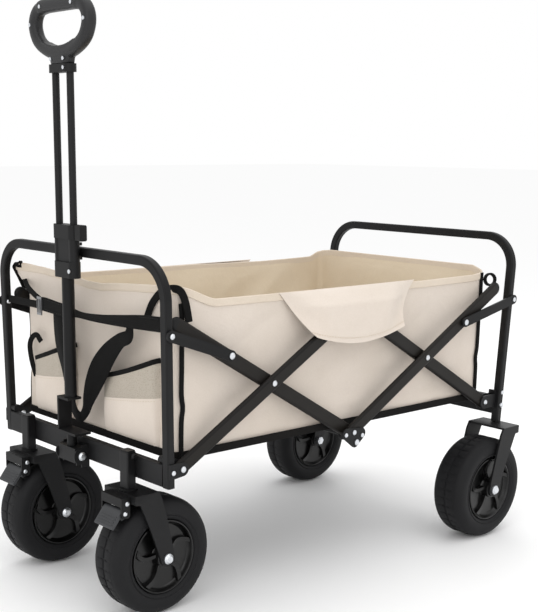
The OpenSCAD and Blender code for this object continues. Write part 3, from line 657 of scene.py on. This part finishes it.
def wall_inset(x, y, z):
    """How far the cloth stands in from its flat plane: slack, creases and pulls to the corners."""
    v = (z - floor_z) / (rim_z - floor_z)
    v = max(0.0, min(1.0, v))
    away = min(1.0, corner_distance(x, y) / 0.12)
    hang = math.sin(math.pi * v) ** 0.8 * away
    p = Vector((x * 3.1 + y * 3.1, (x - y) * 2.0, z * 5.0))
    fold = noise.noise(Vector((p.x * 2.2 + z * 6, p.y, z * 3.0)))
    ridge = abs(noise.noise(Vector((x * 7 + z * 11, y * 7 - z * 9, z * 4 + 3.7))))
    pull = math.exp(-((v - 0.15) / 0.22) ** 2) * abs(noise.noise(Vector((x * 16, y * 16, z * 30))))
    sag = math.exp(-((v - 0.22) / 0.16) ** 2) * (0.5 + noise.noise(Vector((x * 4.2, y * 4.2, 1.7 + z * 8))))
    return (0.0005 + hang * (0.004 + 0.006 * (fold + 0.5)) + 0.008 * (0.5 - ridge) * hang
            + 0.005 * pull * away + 0.006 * max(0.0, sag) * away)


def sheet_grid(name, rows, mat, thick, closed=False, outward=1.0):
    """Rows of points to a cloth sheet of the given thickness, grown to one side."""
    mesh = bpy.data.meshes.new(name)
    mesh.from_pydata([tuple(p) for row in rows for p in row], [],
                     skin(len(rows), len(rows[0]), seamed=closed))
    mesh.materials.append(mat)
    obj = new_object(name, mesh)
    wall = obj.modifiers.new("wall", "SOLIDIFY")
    wall.thickness, wall.offset = thick, outward
    graph = bpy.context.evaluated_depsgraph_get()
    solid = bpy.data.meshes.new_from_object(obj.evaluated_get(graph))
    solid.name = name
    bpy.data.objects.remove(obj)
    smooth(solid, 60)
    return new_object(name, solid)


def grid_size(rows, closed=False):
    """Mean width and length of a grid of points, as it was cut."""
    def run(points):
        return sum((Vector(b) - Vector(a)).length for a, b in zip(points, points[1:]))

    wide = sum(run(r + r[:1] if closed else r) for r in rows) / len(rows)
    cols = list(zip(*rows))
    return wide, sum(run(c) for c in cols) / len(cols)


def with_basket(obj):
    """Rides on the basket, with a mesh of its own."""
    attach(obj, "basket")
    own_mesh(obj)


loop_points = perimeter(0.0065)
levels = 40
rows = []
for i in range(levels + 1):
    row = []
    for x, y, nx, ny in loop_points:
        z = floor_z + (rim_height(x, y) - floor_z) * i / levels
        inset = wall_inset(x, y, z)
        dx, dy = hood(x, y, z)
        row.append((x - nx * inset + dx, y - ny * inset + dy, z))
    rows.append(row)
walls = sheet_grid("basket_walls", rows, canvas, 0.0012, closed=True, outward=-1.0)
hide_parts("basket_left", "basket_right", "basket_front", "basket_rear")
walls.data.materials.append(lining)
for face in walls.data.polygons:
    x, y, _ = face.center
    nx, ny, _ = face.normal
    facing = nx * math.copysign(1, x) if abs(x) / half_l > abs(y) / half_w else ny * math.copysign(1, y)
    face.material_index = 1 if facing < -0.2 else 0
with_basket(walls)
grid_size(rows, True)

# ---------------------------------------------------------------- rim binding and corner loops
# The rim is rolled into a beige hem. Black webbing arches over each front arm tip, a short webbing loop
# rings each rear one, and black piping closes the four upright seams.
webbing = oxford("woven polypropylene webbing, black", "#060606", "#0C0B0A", 3.0, 0.8, 0.0)
hem = oxford("rolled oxford hem, warm beige", "#D8CBBB", "#CABCAA", 2.2, 0.4)


def tape(name, path, width, thick, mat, normals, closed=False):
    """A flat tape swept along path, its width one value or a list; normals point out of its flat side."""
    verts, count = [], len(path)
    for i, p in enumerate(path):
        p = Vector(p)
        if closed:
            ahead = (Vector(path[(i + 1) % count]) - Vector(path[i - 1])).normalized()
        else:
            ahead = (Vector(path[min(i + 1, count - 1)]) - Vector(path[max(i - 1, 0)])).normalized()
        out = Vector(normals[i])
        out = (out - ahead * out.dot(ahead)).normalized()
        across = ahead.cross(out)
        w = (width[i] if isinstance(width, (list, tuple)) else width) / 2
        t = thick / 2
        for a, b in ((-w + t * 0.6, t), (w - t * 0.6, t), (w, t * 0.4), (w, -t * 0.4),
                     (w - t * 0.6, -t), (-w + t * 0.6, -t), (-w, -t * 0.4), (-w, t * 0.4)):
            verts.append(p + across * a + out * b)
    ends = [] if closed else caps(count, 8)
    return mesh_from(name, verts, skin(count, 8, looped=closed) + ends, mat, 50)


def rim_run(select, drop):
    """Points on the rim, lowered by drop, where select(x, y) holds, as separate runs."""
    runs, run = [], []
    dense = perimeter(0.004)
    chosen = [select(p[0], p[1]) for p in dense]
    start = 0 if all(chosen) else chosen.index(False)
    for p in dense[start:] + dense[:start]:
        if select(p[0], p[1]):
            run.append(p)
        elif run:
            runs.append(run)
            run = []
    if run:
        runs.append(run)
    out = []
    for r in runs:
        path = []
        for x, y, nx, ny in r:
            z = rim_height(x, y) - drop
            inset = wall_inset(x, y, z) - 0.0002
            dx, dy = hood(x, y, z)
            path.append(((x - nx * inset + dx, y - ny * inset + dy, z), (nx, ny, 0)))
        out.append(path)
    return out


hems = []
for k, run in enumerate(rim_run(lambda x, y: corner_distance(x, y) > 0.004, 0.0058)):
    hems.append(tape("hem_%d" % k, [p for p, _ in run], 0.013, 0.0036, hem, [n for _, n in run]))
rim_hem = join("rim_hem", *hems)
with_basket(rim_hem)
# front corners: a webbing arch from the end panel, over the arm tip, down onto the side
near_arch = [(0.3868, 0.150, 0.496), (0.3874, 0.164, 0.519), (0.3885, 0.186, 0.538),
             (0.3895, 0.207, 0.5465), (0.3845, 0.2265, 0.5475), (0.3765, 0.2300, 0.5360),
             (0.3700, 0.2300, 0.5170), (0.3655, 0.2300, 0.4960)]
far_arch = [(0.3985, -0.212, 0.5500), (0.4030, -0.2300, 0.5480), (0.3960, -0.2370, 0.5400),
            (0.3880, -0.2360, 0.5240), (0.3800, -0.2310, 0.5020)]
loops = []
for sy, knots in ((-1, far_arch), (1, near_arch)):
    arch = through(knots, 6)
    outs = []
    for p in arch:
        turn = min(1.0, max(0.0, (0.2245 - abs(p.y)) / 0.02))
        outs.append((0.25 + turn, sy * (1.25 - turn), 0))
    loops.append(tape("loop", arch, 0.0125, 0.0034, webbing, outs))
# rear corners: a short loop rings the arm tip
ring_r, ring_points = 0.0110, 28
for sy in (-1, 1):
    facing = Vector((0.35, 0.92 * sy, 0.15)).normalized()
    flat = Vector((0, 0, 1)).cross(facing).normalized()
    high = facing.cross(flat)
    centre = Vector((-0.3915, sy * 0.2300, 0.5110))
    turns = [2 * math.pi * i / ring_points for i in range(ring_points)]
    outward = [flat * math.cos(a) + high * math.sin(a) for a in turns]
    loops.append(tape("ring", [centre + v * ring_r for v in outward], 0.0090, 0.0040, webbing, outward,
                      closed=True))
for sx in (-1, 1):
    for sy in (-1, 1):
        # upright piping on the corner seam, with one small pinch
        seam = []
        for i in range(30):
            z = floor_z + 0.002 + (rim_z - floor_z - 0.004) * i / 29
            wob = 0.0016 * noise.noise(Vector((sx * 3, sy * 5, z * 22)))
            pinch = -0.003 * math.exp(-((z - 0.358) / 0.012) ** 2)
            cx = sx * (half_l - 0.0105 + wob + pinch)
            dx, dy = hood(cx, sy * half_w, z)
            seam.append((cx + dx, sy * (half_w + 0.0009) + dy, z))
        loops.append(tape("piping", seam, 0.0085, 0.0042, webbing, [(0, sy, 0)] * len(seam)))
corner_loops = join("corner_loops", *loops)
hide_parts("corner_hoods")
with_basket(corner_loops)

# ---------------------------------------------------------------- basket floor
# A stiffened floor pan in black PVC-coated cloth, turned up the walls as a 14 mm bound band, with a
# beige padded base board in four folding leaves laid inside.
pvc = oxford("PVC-coated base cloth, black", "#080706", "#100E0C", 2.4, 0.5, 0.0)
band_z = floor_z + 0.0068
band_path = [((x + nx * 0.0006, y + ny * 0.0006, band_z), (nx, ny, 0))
             for x, y, nx, ny in perimeter(0.008)]
band = tape("band", [p for p, _ in band_path], 0.0135, 0.0022, pvc, [n for _, n in band_path], closed=True)
rows = []
inner_l, inner_w = half_l - 0.0015, half_w - 0.0015
for i in range(61):
    x = -inner_l + 2 * inner_l * i / 60
    row = []
    for j in range(37):
        y = -inner_w + 2 * inner_w * j / 36
        edge = min(inner_l - abs(x), inner_w - abs(y)) / 0.02
        sag = 0.0006 * min(1.0, edge) * (1 + noise.noise(Vector((x * 9, y * 9, 1))))
        row.append((x, y, floor_z + 0.0012 - sag * 0.6))
    rows.append(row)
pan = sheet_grid("pan", rows, pvc, 0.0010, outward=1.0)
floor_pan = join("floor_pan", band, pan)
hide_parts("basket_floor")
with_basket(floor_pan)

leaves = []
leaf_count, leaf_l, leaf_half, leaf_z, leaf_gap = 4, 0.186, 0.2105, 0.2795, 0.002
board_cloth = oxford("padded base cover, beige oxford", "#D5C9B4", "#C6B99F", 2.2, 0.5)
for k in range(leaf_count):
    x0 = (k - leaf_count / 2) * leaf_l + leaf_gap
    x1 = x0 + leaf_l - 2 * leaf_gap
    verts, faces, nu, nv = [], [], 18, 36
    for side in (1, -1):
        for i in range(nu + 1):
            for j in range(nv + 1):
                u, v = i / nu, j / nv
                crown = (math.sin(math.pi * u) * math.sin(math.pi * v)) ** 0.25
                soft = 0.0006 * noise.noise(Vector((x0 * 7 + u * 4, v * 8, k)))
                z = leaf_z + side * 0.0030 * crown + (soft if side > 0 else 0) * crown
                verts.append((x0 + (x1 - x0) * u, leaf_half * (2 * v - 1), max(z, leaf_z - 0.0033)))
    size = (nu + 1) * (nv + 1)
    for side in (0, 1):
        for i in range(nu):
            for j in range(nv):
                a = side * size + i * (nv + 1) + j
                quad = (a, a + 1, a + nv + 2, a + nv + 1)
                faces.append(quad if side else quad[::-1])
    leaves.append(mesh_from("leaf_%d" % k, verts, faces, board_cloth, 50))
base_pad = join("base_board", *leaves)
with_basket(base_pad)

# ---------------------------------------------------------------- side flaps
# On each side a tongue of the same oxford is sewn under the rim and hides the top joint of the scissor.
# It drapes like a tent over the joint, and its lower edge is cut in a shallow curve.


def flap_rows(side):
    """Rim at v = 0, free edge at v = 1; both ends draw in as it drops."""
    flap_low, lowest, sewn_y, arm_reach = 0.4295, 0.48, 0.2240, 0.0285
    top = rim_z - 0.0018
    rows = []
    for i in range(31):
        v = i / 30
        row = []
        for j in range(49):
            u = j / 48
            back, ahead = -0.172 + 0.056 * v ** 0.9, 0.168 - 0.062 * v ** 0.9
            x = back + (ahead - back) * u
            if u < lowest:
                curve = 0.019 * (1 - u / lowest) ** 1.8
            else:
                curve = 0.0205 * ((u - lowest) / (1 - lowest)) ** 2
            low = flap_low + curve
            z = top + (low - top) * v
            # the sewn ends lie on the wall and the free edge stands clear of the arms
            end = min(1.0, min(u, 1 - u) / 0.26)
            clear = v ** 2.6 + (1 - v ** 2.6) * end * end * (3 - 2 * end)
            out = sewn_y + arm_reach * clear * min(1.0, (top - z) / 0.026) ** 0.75
            ripple = 0.0014 * math.sin(2 * math.pi * (1.2 * u + 0.4 * v)) * v * clear
            lip = 0.0014 * v ** 3 * clear
            slack = noise.noise(Vector((x * 20, z * 14, side * 2.0))) + 0.5
            wave = 0.0012 * slack * min(1, 4 * v) * clear
            row.append((x, side * (out + max(0, ripple) + lip + wave), z))
        rows.append(row)
    return rows


for side, label in ((1, "left"), (-1, "right")):
    rows = flap_rows(side)
    flap = sheet_grid("side_flap_" + label, rows, canvas, 0.0012, outward=1.0 if side < 0 else -1.0)
    with_basket(flap)
    grid_size(rows)

# ---------------------------------------------------------------- front pockets
# Two gusseted pockets on the front panel: oxford below, a net upper with a bound slanting mouth, and a
# loop of webbing on the right pocket's outer edge.
net, net_tree, net_shader = material("warp-knitted net, beige", Roughness=0.8)
net_coords = object_coords(net_tree)
cells = add(net_tree, "ShaderNodeTexVoronoi", {"Vector": net_coords, "Scale": 300.0, "Randomness": 0.9},
            feature="DISTANCE_TO_EDGE")
holes = add(net_tree, "ShaderNodeMapRange", {"Value": cells.outputs[0], "From Min": 0.10, "From Max": 0.28})
net_mix = add(net_tree, "ShaderNodeMix", {"Factor": holes.outputs[0]}, data_type="RGBA")
net_mix.inputs[6].default_value = srgb("#B1A89B")
net_mix.inputs[7].default_value = srgb("#A59C8F")
net_tree.links.new(net_mix.outputs[2], net_shader.inputs["Base Color"])
net_bump = add(net_tree, "ShaderNodeBump", {"Height": holes.outputs[0], "Strength": 0.5, "Distance": 0.0006},
               invert=True)
net_tree.links.new(net_bump.outputs[0], net_shader.inputs["Normal"])
panel_x = 0.3852


def pocket(label, y0, y1, low, seam0, seam1, mouth0, mouth1, mouth_sag):
    """A pocket from y0 to y1: oxford from low to seam, net from there to the slanting mouth."""
    def face(u, z, top):
        fill = min((z - low) / (top - low) * 2.2, 1)
        belly = 0.0125 * (math.sin(math.pi * min(max(u, 0), 1)) ** 0.55) * (1 - (1 - fill) ** 2) ** 0.5
        crease = 0.0012 * noise.noise(Vector((u * 5, (z - low) / (top - low) * 4, y0 * 20)))
        edge = max(0.0, 1 - min(u, 1 - u) / 0.035)
        return panel_x + 0.0006 + max(0.0, belly + crease * math.sin(math.pi * u)) - 0.013 * edge

    def mouth(u):
        return mouth0 + (mouth1 - mouth0) * u - mouth_sag * math.sin(math.pi * u)
    def seam(u):
        return seam0 + (seam1 - seam0) * u

    def grid(steps, below, above, back):
        """Rows of points from the line below to the line above, set back from the cloth's face."""
        rows = []
        for i in range(steps + 1):
            row = []
            for u in (j / 32 for j in range(33)):
                z = below(u) + (above(u) - below(u)) * i / steps
                row.append((face(u, z, mouth(u)) - back, y0 + (y1 - y0) * u, z))
            rows.append(row)
        return rows

    cloth_rows = grid(18, lambda u: low, seam, 0)
    net_rows = grid(12, seam, mouth, 0.0004)
    cloth = sheet_grid("pocket_cloth_" + label, cloth_rows, canvas, 0.0011, outward=1.0)
    upper = sheet_grid("pocket_net_" + label, net_rows, net, 0.0008, outward=1.0)
    path = net_rows[-1]
    bind = tape("bind", path, 0.0085, 0.0030, webbing, [(1, 0, 0)] * len(path))
    return cloth, upper, bind, cloth_rows, net_rows


pocket_left = pocket("left", 0.028, 0.180, 0.288, 0.345, 0.368, 0.381, 0.430, 0.004)
pocket_right = pocket("right", -0.190, -0.074, 0.286, 0.348, 0.362, 0.378, 0.418, 0.002)
for cloth, upper, _, cloth_rows, net_rows in (pocket_left, pocket_right):
    with_basket(cloth)
    with_basket(upper)
    for obj, rows in ((cloth, cloth_rows), (upper, net_rows)):
        grid_size(rows)
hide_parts("basket_pockets")
side_loop = through([(0.3872, -0.188, 0.345), (0.3925, -0.193, 0.372), (0.3960, -0.194, 0.400),
                     (0.3965, -0.186, 0.417), (0.3950, -0.172, 0.425), (0.3930, -0.160, 0.414)], 6)
loop_tape = tape("pocket_loop", side_loop, 0.0095, 0.0022, webbing, [(0.8, 0.6, 0)] * len(side_loop))
pocket_binding = join("pocket_binding", pocket_left[2], pocket_right[2], loop_tape)
with_basket(pocket_binding)

# ---------------------------------------------------------------- front webbing and straps
# Polypropylene webbing stretched between the hoop's legs behind the handle, with a cast tri-glide, a
# thin strap back to the basket's corner and a wide loop that holds the folded cart shut.
web_x = 0.4160
# height of the band's middle, its width and its twist, from the right leg to the left leg
band_knots = through([(0.487, 0.0130, 0.10), (0.487, 0.0135, 0.10), (0.490, 0.0240, 0.05),
                      (0.4865, 0.0225, 0.05), (0.4845, 0.0150, 1.00), (0.4850, 0.0170, 0.95),
                      (0.4890, 0.0200, 0.55), (0.4935, 0.0235, 0.15), (0.4960, 0.0240, 0.05)], 8)
band_y = through([(0, -0.2303, 0), (0, -0.137, 0), (0, -0.113, 0), (0, -0.054, 0), (0, -0.004, 0),
                  (0, 0.050, 0), (0, 0.118, 0), (0, 0.180, 0), (0, 0.2303, 0)], 8)
path = [(web_x + 0.001, y.y, k.x) for y, k in zip(band_y, band_knots)]
band = tape("band", path, [k.y for k in band_knots], 0.0022, webbing,
            [(math.cos(k.z), 0, math.sin(k.z)) for k in band_knots])
thin = through([(0.3890, -0.222, 0.5265), (0.3960, -0.205, 0.5185), (0.4050, -0.180, 0.5105),
                (0.4120, -0.150, 0.5030), (0.4165, -0.124, 0.4975)], 8)
thin_strap = tape("thin", thin, 0.0095, 0.0020, webbing, [(0.9, 0.1, 0.5)] * len(thin))
front_straps = join("front_straps", band, thin_strap)
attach(front_straps, "front_frame")
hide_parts("front_webbing")

knots = [(0.1395, 0.496, 0.016), (0.1395, 0.478, 0.016), (0.133, 0.464, 0.022), (0.110, 0.454, 0.025),
         (0.079, 0.430, 0.035), (0.051, 0.400, 0.042), (0.029, 0.368, 0.039), (0.015, 0.341, 0.030),
         (0.007, 0.320, 0.022), (-0.008, 0.305, 0.018), (-0.025, 0.312, 0.024), (-0.040, 0.345, 0.032),
         (-0.052, 0.385, 0.034), (-0.066, 0.425, 0.038), (-0.070, 0.460, 0.034), (-0.070, 0.496, 0.030)]
mid = through([(0, y, z) for y, z, _ in knots], 6)
wide_at = through([(w, 0, 0) for _, _, w in knots], 6)
strap_path, strap_out = [], []
for i, p in enumerate(mid):
    t = i / (len(mid) - 1)
    strap_path.append((web_x - 0.0030 - 0.004 * math.sin(math.pi * t) ** 2, p.y, p.z))
    strap_out.append((1, 0.25 * math.sin(2 * math.pi * t), 0.0))
closing = tape("closing_strap", strap_path, [w.x for w in wide_at], 0.0022, webbing, strap_out)
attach(closing, "front_frame")
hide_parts("closure_strap")

cast, cast_tree, cast_shader = material("die-cast zinc slider, satin nickel", Metallic=0.9, Roughness=0.38)
cast_shader.inputs["Base Color"].default_value = srgb("#8E8F91")
cast_noise = add(cast_tree, "ShaderNodeTexNoise",
                 {"Vector": object_coords(cast_tree), "Scale": 500.0, "Detail": 2.0})
cast_bump = add(cast_tree, "ShaderNodeBump",
                {"Height": cast_noise.outputs[0], "Strength": 0.2, "Distance": 0.0002})
cast_tree.links.new(cast_bump.outputs[0], cast_shader.inputs["Normal"])
finish_nodes(cast, "buckle", "webbing_buckle")

# ---------------------------------------------------------------- stitching
# Lock stitch in bonded polyester, one every 5.6 mm: a row under the hem, along each flap's free edge and
# along the bottom and top of each pocket's oxford, and two rows on the flat stretches of the webbing.
# Thread is drawn 0.9 mm thick so that it shows.
thread_light = moulded("bonded polyester thread, cream", "#C9BBA6", 0.6, 0.8, 0.3)
thread_dark = moulded("bonded polyester thread, black", "#1F1E1D", 0.6, 0.8, 0.3)


def stitch_tree():
    """Geometry Nodes: turns an edge path into stitches of Length, one every Pitch."""
    tree = new_tree("lock stitch", Pitch="Float", Length="Float", Thread="Float", Finish="Material")
    given = add(tree, "NodeGroupInput")
    curve = add(tree, "GeometryNodeMeshToCurve", {0: given.outputs["Geometry"]})
    points = add(tree, "GeometryNodeCurveToPoints",
                 {"Curve": curve.outputs[0], "Length": given.outputs["Pitch"]}, mode="LENGTH")
    bead = add(tree, "GeometryNodeMeshIcoSphere", {"Radius": 0.5, "Subdivisions": 1})
    size = add(tree, "ShaderNodeCombineXYZ", {"X": given.outputs["Thread"], "Y": given.outputs["Thread"],
                                              "Z": given.outputs["Length"]})
    turn = add(tree, "FunctionNodeAlignRotationToVector", {"Vector": points.outputs["Tangent"]}, axis="Z")
    copies = add(tree, "GeometryNodeInstanceOnPoints",
                 {"Points": points.outputs[0], "Instance": bead.outputs[0],
                  "Rotation": turn.outputs[0], "Scale": size.outputs[0]})
    real = add(tree, "GeometryNodeRealizeInstances", {0: copies.outputs[0]})
    painted = add(tree, "GeometryNodeSetMaterial",
                  {"Geometry": real.outputs[0], "Material": given.outputs["Finish"]})
    add(tree, "NodeGroupOutput", {0: painted.outputs[0]})
    return tree


stitches = stitch_tree()


def stitch(name, paths, finish):
    """Stitches along each open path of points."""
    verts, edges = [], []
    for path in paths:
        base = len(verts)
        verts += [tuple(p) for p in path]
        edges += [(base + i, base + i + 1) for i in range(len(path) - 1)]
    mesh = bpy.data.meshes.new(name)
    mesh.from_pydata(verts, edges, [])
    return run_tree(new_object(name + "_path", mesh), stitches, name,
                    Pitch=0.0056, Length=0.0046, Thread=0.0009, Finish=finish)


rows_found = rim_run(lambda x, y: corner_distance(x, y) > 0.060, 0.0098)
seams = [[(p[0] + n[0] * 0.0019, p[1] + n[1] * 0.0019, p[2]) for p, n in run] for run in rows_found]
for side in (1, -1):
    seams.append([(x, y + side * 0.0013, z) for x, y, z in flap_rows(side)[27]])
for grid in (pocket_left[3], pocket_right[3]):
    seams += [[(x + 0.0012, y, z) for x, y, z in grid[row]] for row in (-2, 1)]
hem_stitches = stitch("hem_stitches", seams, thread_light)
with_basket(hem_stitches)
seams = []
for dz in (-0.0085, 0.0085):
    flat = [(x + 0.0014, y, z + dz) for (x, y, z), k in zip(path, band_knots)
            if k.y > 0.0215 and k.z < 0.2 and abs(y) < 0.22]
    sides = [p for p in flat if p[1] < 0], [p for p in flat if p[1] > 0]
    seams += [part for part in sides if len(part) > 1]
web_stitches = stitch("webbing_stitches", seams, thread_dark)
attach(web_stitches, "front_frame")
